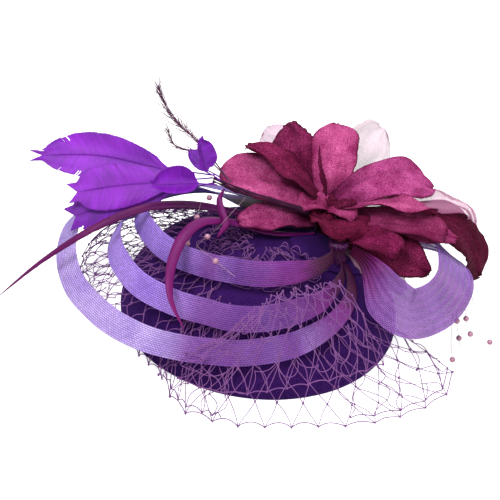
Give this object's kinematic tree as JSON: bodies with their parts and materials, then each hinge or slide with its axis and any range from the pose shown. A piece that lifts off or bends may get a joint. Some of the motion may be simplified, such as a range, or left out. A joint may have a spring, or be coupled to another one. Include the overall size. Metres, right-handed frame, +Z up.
{
  "type": "fascinator headpiece",
  "caption": "Domed felt fascinator with curved crin ribbon loops, a cloth flower, feathers, beaded wires and a net veil, held in the hair by hinged clips under the rim.",
  "frame": {"origin": "centre of the rim circle of the felt base, on the plane that the rim rests on", "axes": "+Z up through the dome, -Y towards the front where the veil falls, +X towards the bow loop and the right-hand petals, -X towards the feathers"},
  "size_m": [0.2957, 0.1909, 0.1211],
  "materials": {
    "felt": "dense wool felt, matte with a faint nap",
    "dark_felt": "black craft felt",
    "petersham": "ribbed grosgrain ribbon",
    "rim_steel": "bright millinery wire",
    "bead_wire": "fine coated beading wire",
    "crin": "woven stiff crin with fine lengthwise ribs",
    "bow_crin": "woven stiff crin, slightly see-through, darker at the gathers",
    "pink_petal": "mottled dyed cloth with frayed dark edges",
    "dark_petal": "dyed cloth, deep burgundy",
    "organza": "crisp sheer organza",
    "wrapped_stem": "thread wrapped over wire",
    "goose_feather": "dyed goose feather, soft sheen",
    "plume": "stripped quill with wispy barbs",
    "biot": "dyed curved biot feather",
    "pearl": "pearl lustre",
    "net": "open diamond net of thin thread",
    "clip_steel": "nickel plated sheet steel"
  },
  "bodies": {
    "hat": {"felt_base": "felt", "rim_ribbon": "petersham", "rim_wire": "rim_steel", "backing_patch": "dark_felt", "flower_pad": "felt", "flower_core": "dark_petal", "ribbon_knot": "bow_crin", "crin_loop_outer": "crin", "crin_loop_middle": "crin", "crin_loop_inner": "crin", "crin_bow_loop": "bow_crin", "petal_left_long": "pink_petal", "petal_left_low": "dark_petal", "petal_back_left": "dark_petal", "petal_back_ruffled": "dark_petal", "petal_back_tall": "pink_petal", "petal_right_high": "pink_petal", "petal_right_fold": "pink_petal", "petal_right_low": "dark_petal", "petal_right_tuck": "pink_petal", "petal_far_right": "dark_petal", "petal_front": "dark_petal", "petal_front_low": "dark_petal", "petal_in_bow": "dark_petal", "sheer_petal_left": "organza", "sheer_petal_back": "organza", "sheer_petal_right": "organza", "sheer_petal_low": "organza", "stem_bundle": "wrapped_stem", "goose_feather_upper": "goose_feather", "goose_feather_middle": "goose_feather", "goose_feather_lower": "goose_feather", "curled_feather_low": "goose_feather", "curled_feather_tall": "goose_feather", "curled_feather_short": "goose_feather", "plume_tall": "plume", "plume_short": "plume", "biot_long": "biot", "biot_front": "biot", "biot_curl": "biot", "bead_wire_left": "bead_wire", "pearls_left": "pearl", "bead_wire_right": "bead_wire", "pearls_right": "pearl", "veil": "net", "veil_overlay": "net", "front_clip_pad": "dark_felt", "front_clip_fixed_arm": "clip_steel", "front_clip_pin": "clip_steel", "front_clip_spring": "clip_steel", "back_clip_pad": "dark_felt", "back_clip_fixed_arm": "clip_steel", "back_clip_pin": "clip_steel", "back_clip_spring": "clip_steel"},
    "front_clip_jaw": {"front_clip_moving_arm": "clip_steel"},
    "back_clip_jaw": {"back_clip_moving_arm": "clip_steel"}
  },
  "joints": [
    {"name": "front_clip_hinge", "type": "hinge", "parent": "hat", "child": "front_clip_jaw", "pos_m": [0, -0.06591, 0.01437], "axis": [0, -0.6545, -0.7561], "range_deg": [0, 25], "stiffness_Nm_per_rad": 0.02, "springref_deg": -17.19, "deforming": ["front_clip_spring"]},
    {"name": "back_clip_hinge", "type": "hinge", "parent": "hat", "child": "back_clip_jaw", "pos_m": [0, 0.06591, 0.01437], "axis": [0, 0.6545, -0.7561], "range_deg": [0, 25], "stiffness_Nm_per_rad": 0.02, "springref_deg": -17.19, "deforming": ["back_clip_spring"]}
  ]
}
